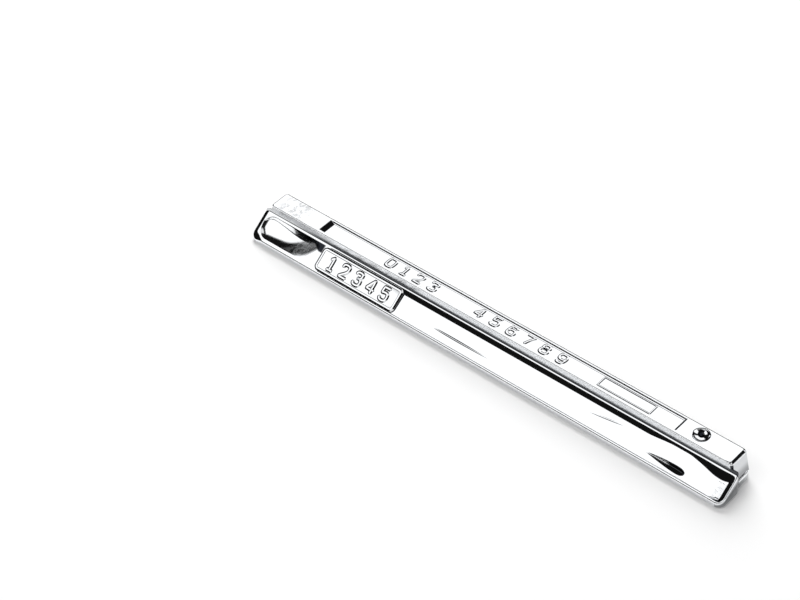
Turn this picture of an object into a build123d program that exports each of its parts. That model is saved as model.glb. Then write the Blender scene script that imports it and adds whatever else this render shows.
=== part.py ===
import math
import os

from build123d import *

# Driving sizes of the cast bar, in millimetres
top_length = 317.0
top_width = 13.0
height = 18.2
end_draft = 1.9
side_draft = 0.55

# Base slab that the raised block and the shelf stand on; the far part of each end stands back a little
slab_length = 326.0
slab_width = 29.0
slab_height = 5.8
slab_end_inset = 1.8
slab_inset_start = 13.5
slab_inset_run = 5.0
slab_near_corner = 4.0
slab_far_corner = 5.0
slab_round_top = 1.2
slab_round_foot = 1.2

# Raised block, set towards the far side of the slab
far_lip = 0.75
block_far = slab_width / 2 - far_lip - side_draft
block_near = block_far - top_width
block_mid = (block_far + block_near) / 2
block_corner_top = 1.6
block_corner_foot = 2.8
block_edge = 0.45
block_sink = 1.0

# Sloping shelf on the near side: rim, sunken floor and the swept foot of the block's wall
wall_drop = 5.6
ledge_out = 1.55
band_run = 1.3
band_drop = 2.2
sweep_start = 0.65
sweep_run = 0.9
sweep_slope = 2.1
near_edge = -slab_width / 2
lip_crest_in = 0.75
lip_crest_z = 3.9
floor_low_in = 1.5
floor_low_z = 3.55
left_bevel_run = 2.9
left_bevel_drop = 1.6
right_bevel_run = 0.9
right_bevel_drop = 0.7
shelf_overlap = 2.4
shelf_back_corner = 1.5

ledge_y = block_near - ledge_out
ledge_z = height - wall_drop
lip_y = near_edge + lip_crest_in
rim_slope = (ledge_z - lip_crest_z) / (ledge_y - lip_y)
rim_angle = math.atan(rim_slope)
band_y = ledge_y - band_run
band_z = ledge_z - band_drop
floor_y = near_edge + floor_low_in
floor_angle = math.atan2(band_z - floor_low_z, band_y - floor_y)
shelf_back = block_near + shelf_overlap
sweep_y = ledge_y + sweep_start


def rim_z(y):
    return ledge_z + rim_slope * (y - ledge_y)


def tilted_plane(y, z, angle):
    return Plane(origin=(0, y, z), x_dir=(1, 0, 0), z_dir=(0, -math.sin(angle), math.cos(angle)))


# Sunken floor of the shelf, from under the tablet to a ramp at the right end
pocket_left = -112.0
pocket_right_in = 1.2
pocket_ramp = 2.6
skim = 0.05
overshoot = 0.4

# Long shallow channel in the block's top
channel_length = 246.0
channel_width = 9.8
channel_depth = 1.0
channel_end_ramp = 2.4
channel_side_ramp = 0.7

# Plain raised frame on the channel floor
frame_x = 88.5
frame_length = 34.0
frame_width = 7.2
frame_line = 0.7
frame_rise = 0.45

# Round dimple near the right end
dimple_x = 134.8
dimple_radius = 4.65
dimple_depth = 2.3
dimple_offset = 0.4
dimple_ball = (dimple_radius**2 + dimple_depth**2) / (2 * dimple_depth)

# Raised tablet across the shelf, with a sunken field inside its border
tablet_x = -86.0
tablet_length = 56.9
tablet_width = 12.4
tablet_rise = 0.35
tablet_sink = 1.7
tablet_draft = 1.6
tablet_corner = 1.9
tablet_border = 0.95
tablet_field = 0.17

# Trough-shaped hollow at the left end of the shelf
hollow_left_in = 3.6
hollow_left_ramp = 1.3
hollow_right = -118.2
hollow_right_ramp = 9.0
hollow_near_in = 1.8
hollow_far = 2.2
hollow_mid = 6.2
hollow_depth = 2.2
hollow_belly = 2.0

# Small pointed dent in the right part of the shelf floor
dent_x = 125.5
dent_in = 4.3
dent_half = 12.5
dent_width = 3.5
dent_depth = 0.75


def beyond(start, end):
    stretch = 1 + overshoot / math.dist(start, end)
    return (start[0] + stretch * (end[0] - start[0]), start[1] + stretch * (end[1] - start[1]))


def pocket_section(share):
    band = (band_y, rim_z(band_y) - share * (rim_z(band_y) - band_z))
    floor = (floor_y, rim_z(floor_y) - share * (rim_z(floor_y) - floor_low_z))
    upper = beyond(band, (ledge_y, ledge_z))
    lower = beyond(floor, (lip_y, lip_crest_z))
    return [upper, band, floor, lower, (lower[0], upper[1])]


half = slab_length / 2
inset_y = near_edge + slab_inset_start
back_x = half - slab_end_inset * (shelf_back - inset_y) / slab_inset_run
slab_side = [
    (half, near_edge),
    (half, inset_y),
    (half - slab_end_inset, inset_y + slab_inset_run),
    (half - slab_end_inset, slab_width / 2),
]
shelf_side = [(half, near_edge), (half, inset_y), (back_x, shelf_back)]
shelf_bevels = [
    Plane(
        origin=(-half + left_bevel_run, ledge_y, ledge_z),
        z_dir=(-left_bevel_drop / left_bevel_run, -rim_slope, 1),
    ),
    Plane(
        origin=(half - right_bevel_run, ledge_y, ledge_z),
        z_dir=(right_bevel_drop / right_bevel_run, -rim_slope, 1),
    ),
]
pocket_right = half - pocket_right_in
pocket_stations = [(pocket_left, 1), (pocket_right - pocket_ramp, 1), (pocket_right, skim)]
hollow_left = -half + hollow_left_in
hollow_near_y = near_edge + hollow_near_in
hollow_far_y = ledge_y - hollow_far
hollow_mid_y = ledge_y - hollow_mid
hollow_stations = [
    (hollow_left, skim),
    (hollow_left + hollow_left_ramp, 1),
    (hollow_right - hollow_right_ramp, 1),
    (hollow_right, skim),
]
tablet_y = (ledge_y + lip_y) / 2
tablet_plane = tilted_plane(tablet_y, rim_z(tablet_y), rim_angle)
dent_y = near_edge + dent_in
dent_plane = tilted_plane(dent_y, floor_low_z + math.tan(floor_angle) * (dent_y - floor_y), floor_angle)

with BuildPart() as shelf:
    # Shelf body: its section carried from end to end, then bevelled at both ends
    sweep_top = rim_z(sweep_y) + sweep_slope * sweep_run
    with BuildSketch(Plane.YZ):
        with BuildLine():
            Polyline(
                (near_edge, slab_round_foot),
                (shelf_back, slab_round_foot),
                (shelf_back, sweep_top),
                (sweep_y + sweep_run, sweep_top),
                (sweep_y, rim_z(sweep_y)),
                (lip_y, lip_crest_z),
                (near_edge, lip_crest_z - lip_crest_in),
                close=True,
            )
        make_face()
    extrude(amount=half, both=True)
    with BuildSketch() as shelf_plan:
        with BuildLine():
            Polyline(*shelf_side, *[(-x, y) for x, y in reversed(shelf_side)], close=True)
        make_face()
        fillet(shelf_plan.vertices().group_by(Axis.Y)[0], slab_near_corner)
        fillet(shelf_plan.vertices().group_by(Axis.Y)[-1], shelf_back_corner)
    extrude(amount=height, mode=Mode.INTERSECT)
    for bevel in shelf_bevels:
        split(bisect_by=bevel, keep=Keep.BOTTOM)

with BuildPart() as pocket:
    # Sunken floor: a steep band below the ledge, a flat slope and a small lip
    for station, share in pocket_stations:
        with BuildSketch(Plane.YZ.offset(station)):
            with BuildLine():
                Polyline(*pocket_section(share), close=True)
            make_face()
    loft(ruled=True)

with BuildPart() as hollow:
    # Trough with a bellied near side, shallow at both ends
    for station, share in hollow_stations:
        far_end = (hollow_far_y, rim_z(hollow_far_y) - share * hollow_depth)
        belly = (hollow_mid_y, rim_z(hollow_mid_y) - share * hollow_belly)
        near_end = (hollow_near_y, rim_z(hollow_near_y) + skim)
        upper = beyond(far_end, (ledge_y, ledge_z))
        above = (hollow_near_y, upper[1])
        with BuildSketch(Plane.YZ.offset(station)):
            with BuildLine():
                Line(upper, far_end)
                ThreePointArc(far_end, belly, near_end)
                Line(near_end, above)
                Line(above, upper)
            make_face()
    loft(ruled=True)

with BuildPart() as dent:
    # Spindle whose lower side is pressed into the floor
    dent_ball = (dent_width**2 / 4 + dent_depth**2) / (2 * dent_depth)
    dent_lift = dent_ball - dent_depth
    with BuildSketch(Plane.XZ):
        with BuildLine():
            Line((-dent_half, dent_lift), (dent_half, dent_lift))
            Line((dent_half, dent_lift), (dent_half, 0))
            ThreePointArc((dent_half, 0), (0, -dent_depth), (-dent_half, 0))
            Line((-dent_half, 0), (-dent_half, dent_lift))
        make_face()
    revolve(axis=Axis((0, 0, dent_lift), (1, 0, 0)), revolution_arc=360)

with BuildPart() as tablet:
    # Tablet with sloping sides, standing a little above the rim
    with BuildSketch(tablet_plane.offset(-tablet_sink)):
        with Locations((tablet_x, 0)):
            RectangleRounded(
                tablet_length + 2 * tablet_draft,
                tablet_width + 2 * tablet_draft,
                tablet_corner + tablet_draft,
            )
    with BuildSketch(tablet_plane.offset(tablet_rise)):
        with Locations((tablet_x, 0)):
            RectangleRounded(tablet_length, tablet_width, tablet_corner)
    loft()
    with BuildSketch(tablet_plane.offset(tablet_rise)):
        with Locations((tablet_x, 0)):
            RectangleRounded(
                tablet_length - 2 * tablet_border,
                tablet_width - 2 * tablet_border,
                tablet_corner - tablet_border,
            )
    extrude(amount=-tablet_field, mode=Mode.SUBTRACT)

with BuildPart() as solder_bar:
    # Base slab with rounded corners
    with BuildSketch() as slab_plan:
        with BuildLine():
            Polyline(*slab_side, *[(-x, y) for x, y in reversed(slab_side)], close=True)
        make_face()
        fillet(slab_plan.vertices().group_by(Axis.Y)[0], slab_near_corner)
        fillet(slab_plan.vertices().group_by(Axis.Y)[-1], slab_far_corner)
    extrude(amount=slab_height)
    fillet(solder_bar.faces().sort_by(Axis.Z)[-1].edges(), slab_round_top)
    fillet(solder_bar.faces().sort_by(Axis.Z)[0].edges(), slab_round_foot)
    add(shelf.part)

    # Raised block
    with BuildSketch(Plane.XY.offset(slab_height - block_sink)):
        with Locations((0, block_mid)):
            RectangleRounded(top_length + 2 * end_draft, top_width + 2 * side_draft, block_corner_foot)
    with BuildSketch(Plane.XY.offset(height)):
        with Locations((0, block_mid)):
            RectangleRounded(top_length, top_width, block_corner_top)
    loft()
    top_face = solder_bar.faces().sort_by(Axis.Z)[-1]
    fillet(top_face.edges(), block_edge)

    # Channel with sloping ends and sides
    with BuildSketch(Plane.XY.offset(height)):
        with Locations((0, block_mid)):
            Rectangle(channel_length, channel_width)
    with BuildSketch(Plane.XY.offset(height - channel_depth)):
        with Locations((0, block_mid)):
            Rectangle(channel_length - 2 * channel_end_ramp, channel_width - 2 * channel_side_ramp)
    loft(mode=Mode.SUBTRACT)

    # Raised frame on the channel floor
    with BuildSketch(Plane.XY.offset(height - channel_depth)):
        with Locations((frame_x, block_mid)):
            Rectangle(frame_length, frame_width)
            Rectangle(frame_length - 2 * frame_line, frame_width - 2 * frame_line, mode=Mode.SUBTRACT)
    extrude(amount=frame_rise)

    # Shelf floor, hollow, dent and tablet
    add(pocket.part, mode=Mode.SUBTRACT)
    add(hollow.part, mode=Mode.SUBTRACT)
    add(dent.part.moved(dent_plane.location * Location((dent_x, 0, 0))), mode=Mode.SUBTRACT)
    add(tablet.part)

    # Round dimple
    with Locations((dimple_x, block_mid + dimple_offset, height + dimple_ball - dimple_depth)):
        Sphere(dimple_ball, mode=Mode.SUBTRACT)

solder_bar.part.label = "solder_bar"
os.makedirs("parts", exist_ok=True)
export_step(solder_bar.part, "parts/solder_bar.step")
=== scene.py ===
import math
import bpy
import numpy as np
from mathutils import Matrix, Vector


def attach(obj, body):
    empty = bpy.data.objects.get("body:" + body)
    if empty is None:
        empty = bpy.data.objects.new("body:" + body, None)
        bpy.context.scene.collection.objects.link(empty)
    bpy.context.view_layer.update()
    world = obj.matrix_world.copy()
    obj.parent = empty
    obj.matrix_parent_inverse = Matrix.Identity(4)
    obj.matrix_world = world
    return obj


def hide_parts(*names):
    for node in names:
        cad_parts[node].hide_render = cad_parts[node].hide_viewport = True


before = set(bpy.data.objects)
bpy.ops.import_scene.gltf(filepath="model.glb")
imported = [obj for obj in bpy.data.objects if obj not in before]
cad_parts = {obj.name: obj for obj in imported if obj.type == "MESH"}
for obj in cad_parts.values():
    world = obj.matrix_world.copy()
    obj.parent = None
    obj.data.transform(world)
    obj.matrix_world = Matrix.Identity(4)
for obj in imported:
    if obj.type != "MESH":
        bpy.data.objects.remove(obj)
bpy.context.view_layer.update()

mm = 0.001


# sorted grid lines: the edge lines inside both ends of a half width, then evenly spaced runs (start, end, step)
def gridLines(half, edge, runs):
    parts = [-half + edge, half - edge]
    parts += [np.linspace(a, b, max(2, int(round(abs(b - a) / step)) + 1)) for a, b, step in runs]
    return np.unique(np.round(np.concatenate(parts), 5))


# smooth step from 0 at a to 1 at b: 3 t t - 2 t t t
def smooth(t, a, b):
    t = np.clip((t - a) / (b - a), 0, 1)
    return t * t * (3 - 2 * t)


# smooth step up over the first span times the smooth step down over the second
def hump(t, up, down):
    return smooth(t, *up) * (1 - smooth(t, *down))


# rise from 0 to 1 that flattens towards its end: 2 t - t t
def bow(t):
    t = np.clip(t, 0, 1)
    return 2 * t - t ** 2


# ramp from 0 to 1 with both corners rounded over the width e: a box filter of clip(s, 0, 1)
def softRamp(s, e):
    area = lambda t: np.where(t < 0, 0, np.where(t < 1, t * t / 2, t - 0.5))
    return (area(s + e / 2) - area(s - e / 2)) / e


# distance inside a corner of radius r: the corner circle's distance, or the nearer straight side
def cornerDistance(qx, qy, r):
    return r - np.hypot(np.maximum(qx, 0), np.maximum(qy, 0)) - np.minimum(np.maximum(qx, qy), 0)


# distance inside a rounded rectangle: the corner distance of the folded point (|x|, |y|)
def insetDistance(x, y, hx, hy, r):
    return cornerDistance(np.abs(x) - (hx - r), np.abs(y) - (hy - r), r)


# each corner square of the grid is pressed into a quarter disc: x = a sqrt(1 - b b / 2), y = b sqrt(1 - a a / 2)
def roundCorners(x, y, hx, hy, r):
    a, b = (np.abs(x) - (hx - r)) / r, (np.abs(y) - (hy - r)) / r
    inside = (a > 0) & (b > 0)
    a, b = np.clip(a, 0, 1), np.clip(b, 0, 1)
    nx = np.sign(x) * ((hx - r) + r * a * np.sqrt(1 - b * b / 2))
    ny = np.sign(y) * ((hy - r) + r * b * np.sqrt(1 - a * a / 2))
    return np.where(inside, nx, x), np.where(inside, ny, y)


# fall of a worked edge at inset d: a straight chamfer of the given width and slope, then a quarter circle of radius r
def edgeFall(d, width, slope, r):
    c = np.clip(r - d, 0, r)
    return slope * np.maximum(width - d, 0) + r - np.sqrt(np.maximum(r * r - c * c, 0))


# inset lines that step evenly round that quarter circle
def edgeLines(r, steps):
    return r * (1 - np.sin(np.linspace(0, math.pi / 2, steps + 1)))


# quads of a rows by cols grid, facing +Z where rows run along X and cols along Y
def gridQuads(rows, cols):
    i, j = np.meshgrid(np.arange(rows - 1), np.arange(cols - 1), indexing="ij")
    a = i * cols + j
    return np.stack([a, a + cols, a + cols + 1, a + 1], -1).reshape(-1, 4)


# indices once round the grid's border, anticlockwise from above
def borderLoop(rows, cols):
    near = np.arange(rows) * cols
    right = (rows - 1) * cols + np.arange(1, cols)
    far = np.arange(rows - 2, -1, -1) * cols + cols - 1
    left = np.arange(cols - 2, 0, -1)
    return np.concatenate([near, right, far, left])


# closed shell: a height field z over (x, y), then rings (scale x, scale y, share of z, level) below its border,
# then a flat underside; each vertex has marks for satin, grain and painted shade, with satin 1 on the rings
def skirtedShell(x, y, z, grain, shade, rings):
    rows, cols = x.shape
    layers, faces = [np.stack([x, y, z], -1).reshape(-1, 3)], [gridQuads(rows, cols)]
    loop = borderLoop(rows, cols)
    bx, by, bz = layers[0][loop].T
    previous, count = loop, x.size
    for kx, ky, share, level in rings:
        now = count + np.arange(len(loop))
        layers.append(np.stack([bx * kx, by * ky, bz * share + level], -1))
        faces.append(np.stack([now, np.roll(now, -1), np.roll(previous, -1), previous], -1))
        previous, count = now, count + len(loop)
    marks = np.zeros((count, 3))
    marks[x.size:, 0] = 1
    marks[:x.size, 1], marks[:x.size, 2] = grain.reshape(-1), shade.reshape(-1)
    return np.concatenate(layers), np.concatenate(faces), [previous[::-1].tolist()], marks


baseSlab = dict(
    halfLength=163.0, halfWidth=14.5, nearCorner=4.0, farCorner=5.0, topLevel=5.8,
    footRound=1.2, footSteps=6, wallBreak=0.6,
    endTaper=1.8, taperSpan=(-1.5, 4),   # the far part of each end stands back
    edgeRound=0.5, edgeSteps=5, edgeWidth=0.25, edgeSlope=0.42,
    leftWidth=2.6, leftSpan=(-160, -153), leftTo=3,   # wider worked edge at the left end
    rightRound=0.3, rightSpan=(158, 161),   # rounder edge at the right end
    xRuns=[(-162.5, -156, 0.2), (-156, -112, 0.55), (-112, -58, 6.0), (-58, -48, 0.4), (-48, -32, 4.0),
           (-32, 14, 1.0), (14, 70, 4.0), (70, 104, 1.0), (104, 138, 0.65), (138, 156, 0.8),
           (156, 162.5, 0.2)],   # start, end, step
    yRuns=[(-14.0, -12.8, 0.1), (-12.8, -6.6, 0.19), (-6.6, -3.0, 0.2), (-3.0, 0.4, 0.12), (0.4, 2.8, 0.3),
           (2.8, 12.0, 2.4), (12.0, 14.0, 0.25)],
    wallSatin=0.35, sideShade=0.04,
    endReach=4, endShade=0.6, endChange=0.27, endRise=(1.5, 4.2), endBack=(0, 7),   # painted shade: the ends darker than the long sides
)
sunkShelf = dict(
    ledgeLevel=12.6, ledgeEdge=-1.35, lipLevel=3.9, lipCrest=-13.75,   # the rim plane passes through ledge and lip
    rimTo=0.2, sweepFrom=-0.4, sweepRun=0.6, sweepRise=1.25,   # the rim sweeps up to the block
    backStart=0.9, backEnd=2.6, backSoft=0.3,   # fall behind the ledge, inside the block
    bandLevel=10.4, bandRun=1.3, bandEdge=-1.05, bandExtra=0.3, bandSoft=0.2,   # steep band behind the floor
    widen=1.9, widenSpans=((141, 153), (155, 165)),   # the band widens near the right end
    dipRun=0.75, dipDepth=0.45, dipSpans=((108, 126), (134, 144)),   # and is narrow and low before that
    floorLevel=3.55, floorEdge=-13.0, endSink=0.4, sinkSpan=(146, 159),
    lipInset=0.25, lipRun=0.5, lipWiden=1.3, lipSpan=(153.5, 158.5), lipSoft=0.4,   # inner slope of the near lip
    leftEnd=-112.0, leftRamp=2.0, leftSoft=0.5, rightEnd=162.5, rightRamp=2.8, rightSoft=0.15,
)
endHollow = dict(
    left=-159.7, right=-118.0, near=-12.6, far=-1.5, corner=6.5, slope=0.565,
    run=4.1, runMore=4.3, runSpan=(-161, -127),   # width of the curved side, wider to the right
    bendX=-153.0, bendRun=6.7, bendDrop=4.8,   # the far line bends down at the left as a quarter ellipse
    farRun=0.5, farMore=1.7, farSpan=(-156, -126), farSoft=0.2,
    tailFrom=-4, tailLean=0.85, tailRun=17.0, tailEase=0.2, easeSpan=(-141, -126),
)
smallDents = [   # one pointed dent, then two thin flow lines; pointed at the start, blunt or fading at the end
    dict(start=112.6, length=24.6, y0=-9.8, y1=-10.4, wide=1.8, slope=0.4, lean=0.45, blunt=14),
    dict(start=14.0, length=-45.0, y0=-8.9, y1=-8.8, wide=0.75, slope=0.47, lean=0.0, blunt=3),
    dict(start=71.0, length=26.0, y0=-7.3, y1=-4.6, wide=0.8, slope=0.45, lean=0.0, blunt=1.2),
]
dentCrease = dict(rounding=0.06, loss=0.02, least=1e-4)
shelfMarks = dict(
    hollowSatin=0.3, hollowSpan=(0.02, 0.3),   # the hollow is less bright than the shelf
    tailX=-137.8, tailY=-8.2, tailSlant=1.56,   # slanting line where the hollow's dull, grainy tail begins; the tail also gets painted shade
    tailGrain=(0, 6), tailDeep=(0.02, 0.2), tailShade=0.36, tailFade=(-0.5, 4), tailEdge=(0.02, 0.15), tailFar=-1.5,
    frost=0.45, frostSpans=((152, 157), (159.5, 160.5)), frostFrom=-12, frostTo=-5,   # patch at the right end
    # painted shade: a dark line where the shelf sweeps up to the block's foot, lighter at the left end
    ledgeShade=0.95, ledgeSpan=(-0.62, -0.42), ledgeTo=2, ledgeLeft=0.4, ledgeFade=(-150, -115),
    wedgeLow=-2.6, wedgeDrop=2.6, wedgeTurn=(-122.5, -117.5), wedgeSpans=((-134, -127), (-115.6, -115.0)),
    wedgeTop=(-1.5, -1.25), wedgeFoot=(-0.4, 0.1),   # painted shade: a dark wedge between hollow and tablet
    hookStart=(156.2, 158.0), hookTop=(-12.0, -11.6), hookOuter=(0.7, 0.9), hookInner=(1.3, 1.5),
    hookMore=0.8, hookRise=(157, 160),   # painted shade: a dark hook in the lip's corner
    streakSpans=((0.1, 0.3), (0.5, 0.68)), streakSide=(-0.25, 0.1),   # the dent is dull in its first half and has painted shade along its crease in the second
    creaseShade=0.95, creaseSpan=(0.5, 0.64), creaseHalf=(0.2, 0.4),   # and dark along its crease in the second
)


# shelf: a rim plane with a square sweep up to the block, less the drop to the floor plane times four ramps,
# one each for the band, the lip and the two ends
def shelfHeight(p, x, y):
    rimSlope = (p["ledgeLevel"] - p["lipLevel"]) / (p["ledgeEdge"] - p["lipCrest"])
    floorSlope = (p["bandLevel"] - p["floorLevel"]) / (p["ledgeEdge"] - p["bandRun"] - p["floorEdge"])
    q = np.clip((y - p["sweepFrom"]) / p["sweepRun"], 0, 1)
    rim = p["ledgeLevel"] + rimSlope * (np.minimum(y, p["rimTo"]) - p["ledgeEdge"]) + p["sweepRise"] * q * q
    floor = p["floorLevel"] + floorSlope * (y - p["floorEdge"]) - p["endSink"] * smooth(x, *p["sinkSpan"])
    dip = hump(x, *p["dipSpans"])
    bandRun = p["bandRun"] + p["bandExtra"] + p["widen"] * hump(x, *p["widenSpans"]) - p["dipRun"] * dip
    band = softRamp((p["bandEdge"] - y) / bandRun, p["bandSoft"]) * (1 - p["dipDepth"] * dip)
    lipRun = p["lipRun"] + p["lipWiden"] * smooth(x, *p["lipSpan"])
    lip = softRamp((y - p["lipCrest"] - p["lipInset"]) / lipRun, p["lipSoft"])
    left = softRamp((x - p["leftEnd"]) / p["leftRamp"], p["leftSoft"])
    right = softRamp((p["rightEnd"] - x) / p["rightRamp"], p["rightSoft"])
    return rim - (rim - floor) * band * lip * left * right


# hollow: its share is a bow in from the rounded rim, times a bow in from the tail, times a ramp at the far line;
# its depth is that share times slope times half the width of the curved side
def hollowForm(p, x, y):
    reach = cornerDistance(p["left"] + p["corner"] - x, p["near"] + p["corner"] - y, p["corner"])
    tail = p["right"] + p["tailLean"] * np.minimum(y - p["tailFrom"], 0) - x
    run = p["run"] + p["runMore"] * smooth(x, *p["runSpan"])
    farLine = p["far"] - p["bendDrop"] * (1 - np.sqrt(1 - np.clip((p["bendX"] - x) / p["bendRun"], 0, 1) ** 2))
    farRun = p["farRun"] + p["farMore"] * smooth(x, *p["farSpan"])
    share = bow(reach / run) * bow(tail / p["tailRun"]) * softRamp((farLine - y) / farRun, p["farSoft"])
    return share, (p["slope"] - p["tailEase"] * smooth(x, *p["easeSpan"])) * run / 2 * share


# dent: s runs from 0 to 1 along it and t from -1 to 1 across it; its depth is the lesser of two leaning flanks,
# rounded where they meet in the crease
def dentForm(p, x, y):
    s = np.clip((x - p["start"]) / p["length"], 0, 1)
    half = p["wide"] * bow(s) * np.sqrt(np.maximum(1 - s ** p["blunt"], 0)) + dentCrease["least"]
    t = np.clip((y - p["y0"] - (p["y1"] - p["y0"]) * s) / half, -1, 1)
    a, b = 1 + t, (1 - t) * (1 + p["lean"]) / (1 - p["lean"])
    lesser = a + b - np.sqrt((a - b) ** 2 + dentCrease["rounding"]) - dentCrease["loss"]
    return s, t, p["slope"] * half * np.maximum(lesser, 0) / 2


# marks of the shelf as sums of products of smooth steps: satin, grain and painted shade
def shelfSkin(p, x, y, inset, hollow, s, t, lean):
    line = x - p["tailX"] - p["tailSlant"] * (y - p["tailY"])
    frost = p["frost"] * hump(x, *p["frostSpans"]) * (y < p["frostTo"]) * (y > p["frostFrom"])
    grain = smooth(line, *p["tailGrain"]) * smooth(hollow, *p["tailDeep"]) + frost
    streak = hump(s, *p["streakSpans"]) * smooth(t, *p["streakSide"]) * (t < 1)
    satin = p["hollowSatin"] * smooth(hollow, *p["hollowSpan"]) + streak
    # painted shade along the block's foot
    ledgeFade = p["ledgeLeft"] + (1 - p["ledgeLeft"]) * smooth(x, *p["ledgeFade"])
    ledge = p["ledgeShade"] * smooth(y, *p["ledgeSpan"]) * (y < p["ledgeTo"]) * ledgeFade
    # painted shade on the hollow's tail
    tail = p["tailShade"] * smooth(line, *p["tailFade"]) * smooth(hollow, *p["tailEdge"]) * (y < p["tailFar"])
    # painted shade: a dark wedge between hollow and tablet
    low = p["wedgeLow"] - p["wedgeDrop"] * smooth(x, *p["wedgeTurn"])
    wedge = hump(x, *p["wedgeSpans"]) * (1 - smooth(y, *p["wedgeTop"])) * smooth(y - low, *p["wedgeFoot"])
    # painted shade: a dark hook in the lip's corner
    inner = 1 - smooth(inset - p["hookMore"] * smooth(x, *p["hookRise"]), *p["hookInner"])
    hook = smooth(x, *p["hookStart"]) * smooth(inset, *p["hookOuter"]) * inner * (1 - smooth(y, *p["hookTop"]))
    # painted shade along the dent's crease
    besideCrease = smooth(np.abs(t - lean), *p["creaseHalf"])
    crease = p["creaseShade"] * smooth(s, *p["creaseSpan"]) * (s < 1) * (1 - besideCrease)
    return satin, grain, np.clip(ledge + tail + wedge + hook + crease, 0, 1)


# height field: the shelf less its hollow and small dents, falling to the slab's top behind the ledge by a ramp,
# less the fall of its worked edges; below it straight walls and a rounded foot
def makeBase(p):
    hx, hy, rf = p["halfLength"], p["halfWidth"], p["footRound"]
    edge = edgeLines(p["edgeRound"], p["edgeSteps"])
    gx, gy = np.meshgrid(gridLines(hx, edge, p["xRuns"]), gridLines(hy, edge, p["yRuns"]), indexing="ij")
    corner = np.where(gy < 0, p["nearCorner"], p["farCorner"])
    x, y = roundCorners(gx, gy, hx, hy, corner)
    inset = insetDistance(x, y, hx, hy, corner)
    hollow, depth = hollowForm(endHollow, x, y)
    z = shelfHeight(sunkShelf, x, y) - depth
    dents = [dentForm(d, x, y) for d in smallDents]
    for s, t, depth in dents:
        z = z - depth
    backRun = sunkShelf["backEnd"] - sunkShelf["backStart"]
    back = softRamp((sunkShelf["backEnd"] - y) / backRun, sunkShelf["backSoft"])
    z = p["topLevel"] + (z - p["topLevel"]) * back
    width = p["edgeWidth"] + p["leftWidth"] * (1 - smooth(x, *p["leftSpan"])) * (y < p["leftTo"])
    z = z - edgeFall(inset, width, p["edgeSlope"], p["edgeRound"] + p["rightRound"] * smooth(x, *p["rightSpan"]))
    x = x - np.sign(x) * p["endTaper"] * smooth(y, *p["taperSpan"]) * np.abs(x) / hx
    s, t, depth = dents[0]
    satin, grain, shade = shelfSkin(shelfMarks, x, y, inset, hollow, s, t, smallDents[0]["lean"])
    rings = [(1, 1, p["wallBreak"], rf * (1 - p["wallBreak"]))]
    for turn in np.linspace(0, math.pi / 2, p["footSteps"] + 1):
        inward = rf * (1 - math.cos(turn))
        rings.append((1 - inward / hx, 1 - inward / hy, 0, rf * (1 - math.sin(turn))))
    verts, faces, under, marks = skirtedShell(x, y, z, grain, shade, rings)
    wall = marks[:, 0] > 0.5
    wx, wy, wz = verts[wall].T
    # painted shade on the slab's walls: the ends darker, more so higher up and less towards the far side; the long
    # sides a little
    endShade = p["endShade"] + p["endChange"] * smooth(wz, *p["endRise"]) - p["endChange"] * smooth(wy, *p["endBack"])
    marks[wall, 0] = p["wallSatin"]
    marks[wall, 2] = np.where(np.abs(wx) > hx - p["endReach"], endShade, p["sideShade"])
    marks[:x.size, 0] = satin.reshape(-1)
    return verts, faces, under, marks


railBlock = dict(
    halfLength=158.5, halfWidth=6.5, centreY=6.7, level=18.2, footLevel=5.2, corner=1.6,
    edgeRound=0.25, edgeSteps=4, chamferSlope=0.36, rightSlope=0.12,
    nearChamfer=0.3, farChamfer=0.8, leftChamfer=0.7, rightChamfer=1.6,
    leftSpan=(0.8, 2.0), rightSpan=(2.4, 1.2),   # where the end chamfers begin, from each end
    endDraft=1.9, sideDraft=0.55,   # the ends lean out further than the sides
    wallShares=(0.04, 0.08, 0.12, 0.16, 0.2, 0.24, 0.28, 0.32, 0.36, 0.4, 0.46, 0.6, 0.7, 0.8, 0.9, 1.0),
    channelHalf=123.0, channelHalfWidth=4.9, channelDepth=1.0,
    leftRamp=3.6, rightRamp=1.5, sideRamp=0.6, rampSoft=0.2,
    farStep=0.455, farRamp=0.5, farShare=0.65, farSoft=0.1,   # the channel's far wall ends in a gentle foot
    dimple=(134.8, 0.4, 4.65, 2.3, 0.4),   # centre x, offset y, radius, depth, rim rounding
    dimpleMargin=0.9, dimplePaintedSpot=(-1.35, 1.47, 1.5, 0.3),   # offset x and y, radius and soft edge of its spot of painted dark reflection
    nearReach=0.5, nearSatin=1.0, otherSatin=0.25,
    nearShade=0.97, nearSpan=(13.9, 15.8), leftShade=0.42, leftFade=(-150, -105),   # painted shade: a dark foot on the near wall
    # painted shade on the other walls, darker low down, and at the near right corner
    otherShade=0.31, otherMore=0.36, otherSpan=(7, 12.5), cornerShade=0.97, cornerReach=1.2,
)


# grid lines of the block, close together at its edges, at the channel's ramps and in the dimple
def blockLines(p):
    hx, hy, re = p["halfLength"], p["halfWidth"], p["edgeRound"]
    dx, dr = p["dimple"][0], p["dimple"][2]
    ch, cw = p["channelHalf"], p["channelHalfWidth"]
    edge = edgeLines(re, p["edgeSteps"])
    xs = gridLines(hx, edge, [
        (-hx + re, -hx + 2.0, 0.2), (-hx + 2.0, -ch - 1, 3.0), (-ch - 0.6, -ch + p["leftRamp"] + 0.6, 0.2),
        (-ch + 4, ch - 4, 4.0), (ch - p["rightRamp"] - 0.6, ch + 0.6, 0.15), (dx - dr - 1, dx + dr + 1, 0.22),
        (dx + dr + 1, hx - 2.0, 1.5), (hx - 2.0, hx - re, 0.15),
    ])
    ys = gridLines(hy, edge, [
        (-hy + re, hy - re, 0.22), (cw - 0.9, cw + 0.2, 0.1), (-cw - 0.2, -cw + 0.9, 0.1),
        (hy - 0.8, hy - re, 0.1), (-hy + re, -hy + 0.8, 0.1),
    ])
    return xs, ys


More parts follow.
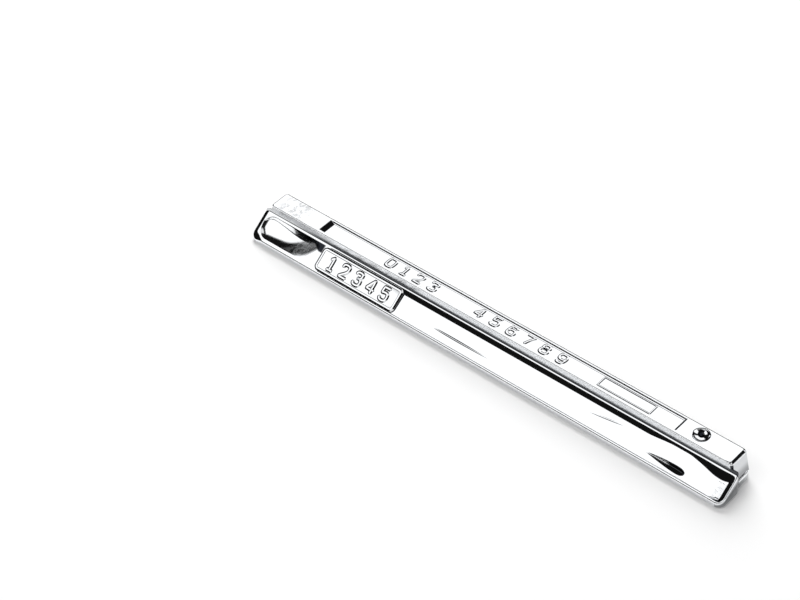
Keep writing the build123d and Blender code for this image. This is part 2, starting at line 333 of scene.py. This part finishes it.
# height field: a flat top less a ramped channel and a spherical dimple, less the fall of its worked edges;
# below it walls that lean out by a share of the drop
def makeBlock(p):
    hx, hy, re = p["halfLength"], p["halfWidth"], p["edgeRound"]
    dx, dy, dr, depth, lip = p["dimple"]
    ch, cw, soft = p["channelHalf"], p["channelHalfWidth"], p["rampSoft"]
    x, y = np.meshgrid(*blockLines(p), indexing="ij")
    x, y = roundCorners(x, y, hx, hy, p["corner"])
    endSink = softRamp((ch - np.abs(x)) / np.where(x < 0, p["leftRamp"], p["rightRamp"]), soft)
    nearSink = softRamp((cw + y) / p["sideRamp"], soft)
    steep = softRamp((cw - y) / p["farStep"], soft)
    gentle = softRamp((cw - p["farStep"] - y) / p["farRamp"], p["farSoft"])
    farSink = gentle + p["farShare"] * (steep - gentle)
    z = p["level"] - p["channelDepth"] * np.minimum(endSink, np.minimum(nearSink, farSink))
    ball = (dr * dr + depth * depth) / (2 * depth)   # radius of the sphere that the dimple is cut from
    rho = np.hypot(x - dx, y - dy)
    bowl = np.sqrt(np.maximum(ball * ball - np.minimum(rho, dr + 1) ** 2, 0.01)) - (ball - depth)
    z = z - np.where(rho < dr + p["dimpleMargin"], (bowl + np.sqrt(bowl * bowl + lip * lip * 0.25)) / 2, 0)
    leftPart = 1 - smooth(x, *(-hx + d for d in p["leftSpan"]))
    rightPart = smooth(x, *(hx - d for d in p["rightSpan"]))
    width = np.where(y < 0, p["nearChamfer"], p["farChamfer"])
    width = width + (p["leftChamfer"] - width) * leftPart
    width = width + (p["rightChamfer"] - width) * rightPart
    slope = p["chamferSlope"] + p["rightSlope"] * rightPart
    z = z - edgeFall(insetDistance(x, y, hx, hy, p["corner"]), width, slope, re)
    # painted reflection: a dark spot in the dimple
    sx, sy, sr, fade = p["dimplePaintedSpot"]
    paintedSpot = 1 - smooth(np.hypot(x - dx - sx, y - dy - sy), sr - fade, sr)
    rings = [(1, 1, 1 - share, p["footLevel"] * share) for share in p["wallShares"]]
    verts, faces, under, marks = skirtedShell(x, y, z, np.zeros_like(x), paintedSpot, rings)
    wall = marks[:, 0] > 0.5
    wx, wy, wz = verts[wall].T
    nearWall = wy < -hy + p["nearReach"]
    # painted shade on the block's walls: a dark foot on the near wall, grey along its left end, the other walls darker
    # low down, the near right corner dark
    nearShade = p["nearShade"] * (1 - smooth(wz, *p["nearSpan"]))
    nearShade = nearShade + (p["leftShade"] - nearShade) * (1 - smooth(wx, *p["leftFade"]))
    otherShade = p["otherShade"] + p["otherMore"] * (1 - smooth(wz, *p["otherSpan"]))
    marks[wall, 0] = np.where(nearWall, p["nearSatin"], p["otherSatin"])
    marks[wall, 2] = np.where(nearWall, nearShade, otherShade)
    reach = p["cornerReach"]
    marks[wall & (verts[:, 0] > hx - reach) & (verts[:, 1] < -hy + reach), 2] = p["cornerShade"]
    top = p["level"] - re - p["nearChamfer"] * p["chamferSlope"]
    low = np.clip((top - verts[:, 2]) / (top - p["footLevel"]), 0, 1)
    verts[:, 0] *= 1 + low * p["endDraft"] / hx
    verts[:, 1] *= 1 + low * p["sideDraft"] / hy
    verts[:, 1] += p["centreY"]
    return verts, faces, under, marks


# rounded rectangle at offset o: four arcs of radius r + o about the same centres, nearly sharp where o passes r
def roundedPath(hx, hy, r, o, steps=10, least=0.03):
    t = np.linspace(0, math.pi / 2, steps + 1)
    quarter = np.concatenate([t + k * math.pi / 2 for k in range(4)])
    sx = np.repeat([1, -1, -1, 1], steps + 1)
    sy = np.repeat([1, 1, -1, -1], steps + 1)
    arc = max(r + o, least)
    return np.stack([sx * (hx + o - arc) + arc * np.cos(quarter), sy * (hy + o - arc) + arc * np.sin(quarter)], -1)


# the profile (offset, height) carried round a rounded rectangle; open profiles are capped, closed ones make a ring
def makePlate(half, corner, profile, ring, darkLoops=0, darkShade=0.97):
    loops = np.stack([roundedPath(*half, corner, o) for o, h in profile])
    m, n = loops.shape[:2]
    heights = np.array([h for o, h in profile])[:, None] + np.zeros(n)
    verts = np.concatenate([loops, heights[..., None]], -1).reshape(-1, 3)
    k, j = np.meshgrid(np.arange(m if ring else m - 1), np.arange(n), indexing="ij")
    a, b, up = k * n + j, k * n + (j + 1) % n, ((k + 1) % m) * n
    faces = np.stack([a, b, up + (j + 1) % n, up + j], -1).reshape(-1, 4)
    last = (m - 1) * n
    caps = [] if ring else [list(range(last, last + n)), list(range(n - 1, -1, -1))]
    marks = np.zeros((len(verts), 3))
    marks[:darkLoops * n, 2] = darkShade   # painted shade on the lower loops
    return verts, faces, caps, marks


tabletPlate = dict(
    # darkLoops: painted shade on the tablet's two lowest loops, its steep skirt
    half=(28.45, 6.2), corner=1.9, ring=False, darkLoops=2,
    profile=[(2.0, -1.7), (1.15, -0.14), (1.05, -0.08), (0.15, 0.3), (0.05, 0.34), (-0.05, 0.35),
             (-0.8, 0.35), (-0.88, 0.33), (-1.02, 0.2), (-1.12, 0.18)],
)
channelFrame = dict(
    half=(17.0, 3.6), corner=0.5, ring=True,
    profile=[(0.27, -0.3), (0.25, 0.0), (-0.2, 0.16), (-0.25, 0.165), (-0.45, 0.165), (-0.5, 0.16),
             (-0.95, 0.0), (-0.97, -0.3)],
)


# plain digits as corner points in a box one high; the corners are cut three times to round them
digitStrokes = {
    "0": [[(0.3, 1), (0.05, 1), (0, 0.7), (0, 0.3), (0.05, 0), (0.55, 0), (0.6, 0.3), (0.6, 0.7), (0.55, 1), (0.3, 1)]],
    "1": [[(0.12, 0.78), (0.33, 1), (0.34, 0.8), (0.34, 0.0)], [(0.12, 0.0), (0.56, 0.0)]],
    "2": [[(0.02, 0.76), (0.05, 1), (0.55, 1), (0.6, 0.72), (0.5, 0.45), (0.02, 0.05), (0.02, 0.0), (0.6, 0.0)]],
    "3": [[(0.02, 0.82), (0.1, 1), (0.54, 1), (0.58, 0.75), (0.48, 0.54), (0.24, 0.54)],
          [(0.24, 0.54), (0.54, 0.54), (0.62, 0.28), (0.55, 0), (0.08, 0), (0, 0.2)]],
    "4": [[(0.46, 0.0), (0.46, 1.0), (0.42, 0.98), (0.0, 0.32), (0.0, 0.28), (0.62, 0.28)]],
    "5": [[(0.56, 1.0), (0.1, 1.0), (0.08, 0.96), (0.05, 0.56), (0.12, 0.6), (0.52, 0.66), (0.62, 0.34), (0.54, 0),
           (0.08, 0), (0, 0.2)]],
    "6": [[(0.54, 0.86), (0.48, 1), (0.1, 1), (0, 0.6), (0, 0.3), (0.05, 0), (0.55, 0), (0.6, 0.3), (0.53, 0.6),
           (0.1, 0.6), (0.02, 0.34)]],
    "7": [[(0.0, 1.0), (0.56, 1.0), (0.58, 0.96), (0.36, 0.45), (0.24, 0.0)]],
    "8": [[(0.3, 0.54), (0.04, 0.54), (0.04, 1), (0.56, 1), (0.56, 0.54), (0.3, 0.54)],
          [(0.3, 0.54), (0.0, 0.54), (0.0, 0), (0.6, 0), (0.6, 0.54), (0.3, 0.54)]],
    "9": [[(0.06, 0.14), (0.12, 0), (0.5, 0), (0.6, 0.4), (0.6, 0.7), (0.55, 1), (0.05, 1), (0, 0.7), (0.07, 0.4),
           (0.5, 0.4), (0.58, 0.66)]],
}
digitMiddle, cornerCuts = 0.3, 3
beadForm = dict(reach=(0.5, 0.3), shrink=(0.35, 0.8), skirt=0.02, crown=0.06, shoulder=0.97)


# corner cutting: each side gives points a quarter and three quarters along it, the two ends stay
def cutCorners(path, times):
    for _ in range(times):
        a, b = path[:-1], path[1:]
        mid = np.stack([0.75 * a + 0.25 * b, 0.25 * a + 0.75 * b], 1).reshape(-1, 2)
        path = np.concatenate([path[:1], mid, path[-1:]])
    return path


# bead: a closed flat-topped profile (distance across, height) carried along a path, narrowed at its two ends
def makeBead(path, width, bevel, height, foot):
    step = np.linalg.norm(np.diff(path, axis=0), axis=1)
    path = path[np.concatenate([[True], step > 1e-6])]
    tangent = np.gradient(path, axis=0)
    tangent /= np.linalg.norm(tangent, axis=1, keepdims=True)
    reach = width / 2 * np.array(beadForm["reach"])[:, None]
    path = np.concatenate([path[:1] - tangent[:1] * reach, path, path[-1:] + tangent[-1:] * reach[::-1]])
    tangent = np.concatenate([tangent[:1].repeat(2, 0), tangent, tangent[-1:].repeat(2, 0)])
    shrink = np.ones(len(path))
    shrink[[0, -1]], shrink[[1, -2]] = beadForm["shrink"]
    side = np.stack([tangent[:, 1], -tangent[:, 0]], -1)
    flatHalf = width / 2 - bevel
    half = np.array([width / 2 + beadForm["skirt"], width / 2, flatHalf, flatHalf - beadForm["crown"]])
    across = np.concatenate([half, [0.0], -half[::-1]])
    rise = np.array([foot, 0.0, beadForm["shoulder"] * height, height])
    rise = np.concatenate([rise, [height], rise[::-1]])
    flat = path[:, None, :] + side[:, None, :] * (across[None, :, None] * shrink[:, None, None])
    up = np.where(rise > 0, rise * np.sqrt(shrink)[:, None], rise)
    verts = np.concatenate([flat, up[..., None]], -1)
    n, m = verts.shape[:2]
    k, j = np.meshgrid(np.arange(n - 1), np.arange(m), indexing="ij")
    a, b = k * m + j, k * m + (j + 1) % m
    faces = np.stack([a, a + m, b + m, b], -1).reshape(-1, 4)
    last = (n - 1) * m
    caps = [list(range(m)), list(range(last + m - 1, last - 1, -1))]
    return verts.reshape(-1, 3), faces, caps, np.zeros((n * m, 3))


# a row of digits: boxes of the given height, stretch and pitch, centred on the row's middle
def makeDigits(text, height, stretch, pitch, width, bevel, rise, foot):
    shells = []
    for k, digit in enumerate(text):
        shift = np.array([(k - (len(text) - 1) / 2) * pitch - digitMiddle * height * stretch, -height / 2])
        for stroke in digitStrokes[digit]:
            path = cutCorners(np.array(stroke, float), cornerCuts) * np.array([height * stretch, height]) + shift
            shells.append(makeBead(path, width, bevel, rise, foot))
    return shells


# a shell whose local (along, up, out) points are turned to the given slope about X and moved to the given place
def seated(shell, slope, place):
    c, s = math.cos(slope), math.sin(slope)
    return (shell[0] @ np.array([[1, 0, 0], [0, c, s], [0, -s, c]]) + np.array(place),) + shell[1:]


def joinShells(name, shells, sharpAngle=40):
    verts, faces, start = [], [], 0
    for v, quads, caps, marks in shells:
        verts.append(v)
        faces += (quads + start).tolist() + [[i + start for i in cap] for cap in caps]
        start += len(v)
    mesh = bpy.data.meshes.new(name)
    mesh.from_pydata((np.concatenate(verts) * mm).tolist(), [], faces)
    marks = np.concatenate([s[3] for s in shells])
    # the shade mark is painted shade that darkens the metal's colour
    for k, key in enumerate(("satin", "grain", "shade")):
        mesh.attributes.new(key, "FLOAT", "POINT").data.foreach_set("value", marks[:, k].astype(np.float32))
    mesh.polygons.foreach_set("use_smooth", np.ones(len(mesh.polygons), bool))
    mesh.set_sharp_from_angle(angle=math.radians(sharpAngle))
    obj = bpy.data.objects.new(name, mesh)
    bpy.context.scene.collection.objects.link(obj)
    return obj


tabletDigits = dict(text="12345", height=7.4, stretch=1.05, pitch=9.8, width=2.5, bevel=0.78, rise=0.4, foot=-0.3)
channelDigits = dict(height=6.3, stretch=1.25, width=2.0, bevel=0.64, rise=0.25, foot=-0.3)
barPlaces = dict(
    tablet=(-86.05, -7.38), field=0.18, frameX=88.5,   # tablet's middle, level of its field, middle of the frame
    rows=[("0123", -58.0, 10.2), ("456789", 18.0, 11.2)],   # digits in the channel, middle x, pitch
)


# the tablet and its digits lie on the shelf's rim plane, the frame and the other digits on the channel's floor
def makeBar(p):
    rise, run = sunkShelf["ledgeLevel"] - sunkShelf["lipLevel"], sunkShelf["ledgeEdge"] - sunkShelf["lipCrest"]
    tilt = math.atan2(rise, run)
    tx, ty = p["tablet"]
    tz = sunkShelf["ledgeLevel"] + math.tan(tilt) * (ty - sunkShelf["ledgeEdge"])
    fieldPlace = (tx, ty - p["field"] * math.sin(tilt), tz + p["field"] * math.cos(tilt))
    cy, cz = railBlock["centreY"], railBlock["level"] - railBlock["channelDepth"]
    shells = [makeBase(baseSlab), makeBlock(railBlock)]
    shells.append(seated(makePlate(**tabletPlate), tilt, (tx, ty, tz)))
    shells.append(seated(makePlate(**channelFrame), 0, (p["frameX"], cy, cz)))
    shells += [seated(s, tilt, fieldPlace) for s in makeDigits(**tabletDigits)]
    for text, middle, pitch in p["rows"]:
        shells += [seated(s, 0, (middle, cy, cz)) for s in makeDigits(text, pitch=pitch, **channelDigits)]
    return joinShells("solderBar", shells)


bar = makeBar(barPlaces)
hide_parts("solder_bar")
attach(bar, "root")
bar.data.calc_loop_triangles()
print("bar made", len(bar.data.vertices), "vertices", len(bar.data.loop_triangles), "triangles")


castMetal = dict(
    # dark: the colour that painted shade, smudges and grain fall towards
    colour=(0.915, 0.93, 0.948, 1), dark=(0.02, 0.022, 0.028, 1), polish=0.035, satin=0.24,
    fineSize=2600.0, fineDetail=3.0, coarseSize=420.0, coarseDetail=4.0, coarseRough=0.65,
    rippleSize=26.0, rippleDetail=1.0, rippleStretch=(0.22, 1.0, 1.0), rippleHeight=0.9,
    patchLeft=(-0.157, -0.150), patchRight=(-0.142, -0.132), patchTop=(0.0178, 0.0181),   # smudges on the block
    smudgeSpan=(0.46, 0.6), smudgeDark=0.3, smudgeRough=0.12,
    grainSpan=(0.42, 0.6), grainLeast=0.35, grainDark=0.2, grainRough=0.3, grainCoarse=0.6, grainFine=0.4,
    bumpDistance=0.00012,
)


# cast skin: colour falls to dark with the painted shade mark, smudges and grain, roughness grows with satin, grain
# and smudges, height is grain and slow ripples
def makeSkinGroup(p):
    group = bpy.data.node_groups.new("castSkin", "ShaderNodeTree")
    for key, kind in (("Color", "NodeSocketColor"), ("Roughness", "NodeSocketFloat"), ("Height", "NodeSocketFloat")):
        group.interface.new_socket(key, in_out="OUTPUT", socket_type=kind)
    nodes, links = group.nodes, group.links
    out = nodes.new("NodeGroupOutput")

    def put(kind, sockets, **settings):
        node = nodes.new(kind)
        for key, value in settings.items():
            setattr(node, key, value)
        for key, value in sockets.items():
            if isinstance(value, bpy.types.NodeSocket):
                links.new(value, node.inputs[key])
            else:
                node.inputs[key].default_value = value
        return node

    def maths(op, a, b=0.0, c=0.0):
        return put("ShaderNodeMath", {0: a, 1: b, 2: c}, operation=op).outputs[0]

    def ramp(value, span, a, b):
        sockets = {"Value": value, "From Min": span[0], "From Max": span[1], "To Min": a, "To Max": b}
        return put("ShaderNodeMapRange", sockets, interpolation_type="SMOOTHSTEP").outputs["Result"]

    def noise(where, size, detail, **more):
        return put("ShaderNodeTexNoise", {"Vector": where, "Scale": size, "Detail": detail, **more}).outputs["Fac"]

    def mark(key):
        return put("ShaderNodeAttribute", {}, attribute_name=key).outputs["Fac"]

    where = nodes.new("ShaderNodeTexCoord").outputs["Object"]
    place = put("ShaderNodeSeparateXYZ", {0: where}).outputs
    fine = noise(where, p["fineSize"], p["fineDetail"])
    coarse = noise(where, p["coarseSize"], p["coarseDetail"], Roughness=p["coarseRough"])
    stretched = put("ShaderNodeMapping", {"Vector": where, "Scale": p["rippleStretch"]}).outputs["Vector"]
    ripple = noise(stretched, p["rippleSize"], p["rippleDetail"])
    patch = maths("MULTIPLY", ramp(place["X"], p["patchLeft"], 0, 1), ramp(place["X"], p["patchRight"], 1, 0))
    patch = maths("MULTIPLY", patch, ramp(place["Z"], p["patchTop"], 0, 1))
    smudge = maths("MULTIPLY", patch, ramp(coarse, p["smudgeSpan"], 0, 1))
    ragged = maths("MULTIPLY", mark("grain"), ramp(coarse, p["grainSpan"], p["grainLeast"], 1))
    # colour darkens with the painted shade mark, real smudges and grain
    dark = maths("MULTIPLY_ADD", smudge, p["smudgeDark"], mark("shade"))
    dark = maths("MULTIPLY_ADD", ragged, p["grainDark"], dark)
    colour = put("ShaderNodeMix", {"Factor": dark, 6: p["colour"], 7: p["dark"]}, data_type="RGBA")
    rough = maths("MULTIPLY_ADD", mark("satin"), p["satin"], p["polish"])
    rough = maths("MULTIPLY_ADD", ragged, p["grainRough"], rough)
    rough = maths("MULTIPLY_ADD", smudge, p["smudgeRough"], rough)
    height = maths("MULTIPLY_ADD", coarse, p["grainCoarse"], maths("MULTIPLY", fine, p["grainFine"]))
    height = maths("MULTIPLY_ADD", ripple, p["rippleHeight"], maths("MULTIPLY", ragged, height))
    links.new(colour.outputs[2], out.inputs["Color"])
    links.new(rough, out.inputs["Roughness"])
    links.new(height, out.inputs["Height"])
    return group


def makeMetal(p):
    mat = bpy.data.materials.new("castSolder")
    mat.use_nodes = True
    nodes, links = mat.node_tree.nodes, mat.node_tree.links
    shader = nodes["Principled BSDF"]
    shader.inputs["Metallic"].default_value = 1.0
    skin = nodes.new("ShaderNodeGroup")
    skin.node_tree = makeSkinGroup(p)
    bump = nodes.new("ShaderNodeBump")
    bump.inputs["Strength"].default_value = 1.0
    bump.inputs["Distance"].default_value = p["bumpDistance"]
    links.new(skin.outputs["Height"], bump.inputs["Height"])
    links.new(skin.outputs["Color"], shader.inputs["Base Color"])
    links.new(skin.outputs["Roughness"], shader.inputs["Roughness"])
    links.new(bump.outputs["Normal"], shader.inputs["Normal"])
    return mat


bar.data.materials.append(makeMetal(castMetal))
print("metal made")


studio = dict(
    floorSize=6.0, floorColour=(0.93, 0.93, 0.93, 1), floorRough=0.9, glow=0.03, dark=0.006,
    boxes=[(108, 40, 22, 52, 1.15), (229, 24, 35, 61, 1.15), (22, 20, 12, 54, 1.15), (304, 42, 11, 44, 0.75),
           (0, 150, 72, 90, 0.8)],   # azimuth, half width, low and high elevation, strength
    sideSoft=6, lowSoft=3, highSoft=(2, 3), overhead=85,   # soft edges; a box reaching overhead has no upper edge
)


def makeFloor(p):
    h = p["floorSize"] / 2
    mesh = bpy.data.meshes.new("paleFloor")
    mesh.from_pydata([(-h, -h, 0), (h, -h, 0), (h, h, 0), (-h, h, 0)], [], [(0, 1, 2, 3)])
    floor = bpy.data.objects.new("paleFloor", mesh)
    bpy.context.scene.collection.objects.link(floor)
    mat = bpy.data.materials.new("paleFloor")
    mat.use_nodes = True
    shader = mat.node_tree.nodes["Principled BSDF"]
    shader.inputs["Base Color"].default_value = p["floorColour"]
    shader.inputs["Roughness"].default_value = p["floorRough"]
    shader.inputs["Specular IOR Level"].default_value = 0.0
    shader.inputs["Emission Color"].default_value = p["floorColour"]
    shader.inputs["Emission Strength"].default_value = p["glow"]
    mesh.materials.append(mat)


# world strength: a dark level plus, for each soft box, smooth steps of azimuth and of height multiplied together
def makeSoftBoxes(p):
    world = bpy.data.worlds.new("softBoxes")
    bpy.context.scene.world = world
    world.use_nodes = True
    nodes, links = world.node_tree.nodes, world.node_tree.links

    def turned(op, source, vector=(0, 0, 0)):
        node = nodes.new("ShaderNodeVectorMath")
        node.operation = op
        node.inputs[1].default_value = vector
        links.new(source, node.inputs[0])
        return node.outputs["Value" if op == "DOT_PRODUCT" else "Vector"]

    def ramp(source, a, b, low, high):
        node = nodes.new("ShaderNodeMapRange")
        node.interpolation_type = "SMOOTHSTEP"
        for key, value in (("From Min", a), ("From Max", b), ("To Min", low), ("To Max", high)):
            node.inputs[key].default_value = value
        links.new(source, node.inputs["Value"])
        return node.outputs["Result"]

    def combine(op, a, b):
        node = nodes.new("ShaderNodeMath")
        node.operation = op
        links.new(a, node.inputs[0])
        links.new(b, node.inputs[1])
        return node.outputs[0]

    sine = lambda degrees: math.sin(math.radians(degrees))
    cosine = lambda degrees: math.cos(math.radians(degrees))
    where = nodes.new("ShaderNodeTexCoord").outputs["Generated"]
    split = nodes.new("ShaderNodeSeparateXYZ")
    links.new(where, split.inputs[0])
    height = split.outputs["Z"]
    level = turned("NORMALIZE", turned("MULTIPLY", where, (1, 1, 0)))
    total = nodes.new("ShaderNodeValue").outputs[0]
    total.default_value = p["dark"]
    for azimuth, wide, low, high, strength in p["boxes"]:
        toward = turned("DOT_PRODUCT", level, (cosine(azimuth), sine(azimuth), 0))
        side = ramp(toward, cosine(wide + p["sideSoft"]), cosine(wide - p["sideSoft"]), 0, strength)
        under = ramp(height, sine(low - p["lowSoft"]), sine(low + p["lowSoft"]), 0, 1)
        lit = combine("MULTIPLY", side, under)
        if high < p["overhead"]:
            over = ramp(height, sine(high - p["highSoft"][0]), sine(high + p["highSoft"][1]), 1, 0)
            lit = combine("MULTIPLY", lit, over)
        total = combine("ADD", total, lit)
    links.new(total, nodes["Background"].inputs["Strength"])
    nodes["Background"].inputs["Color"].default_value = (1, 1, 1, 1)


makeFloor(studio)
makeSoftBoxes(studio)


keyLamp = dict(name="backLamp", azimuth=130, elevation=37, distance=2.2, size=2.0, power=49.0)
fillLamp = dict(name="frontLamp", azimuth=255, elevation=62, distance=2.2, size=2.2, power=13.0)


def makeLamp(p):
    data = bpy.data.lights.new(p["name"], "AREA")
    data.shape, data.size, data.energy = "DISK", p["size"], p["power"]
    lamp = bpy.data.objects.new(p["name"], data)
    bpy.context.scene.collection.objects.link(lamp)
    a, e = math.radians(p["azimuth"]), math.radians(p["elevation"])
    toward = Vector((math.cos(e) * math.cos(a), math.cos(e) * math.sin(a), math.sin(e)))
    turn = toward.to_track_quat("Z", "Y").to_matrix().to_4x4()
    lamp.matrix_world = Matrix.Translation(toward * p["distance"]) @ turn
    lamp.visible_glossy = False   # the metal mirrors the soft boxes only


makeLamp(keyLamp)
makeLamp(fillLamp)
bpy.context.scene.view_settings.view_transform = "Standard"
print("studio made")


photoCamera = dict(
    place=(0.60231, -0.65602, 0.88557), right=(0.743597, 0.665425, -0.065371), up=(-0.424281, 0.545155, 0.723044),
    lens=106.126, sensor=36.0, near=0.01, far=50.0,
)


def makeCamera(p):
    data = bpy.data.cameras.new("photoCamera")
    data.lens, data.sensor_width, data.sensor_fit = p["lens"], p["sensor"], "HORIZONTAL"
    data.clip_start, data.clip_end = p["near"], p["far"]
    cam = bpy.data.objects.new("photoCamera", data)
    bpy.context.scene.collection.objects.link(cam)
    right, up = Vector(p["right"]), Vector(p["up"])
    turn = Matrix((right, up, right.cross(up))).transposed()
    cam.matrix_world = Matrix.Translation(p["place"]) @ turn.to_4x4()
    bpy.context.scene.camera = cam


makeCamera(photoCamera)
print("camera set")
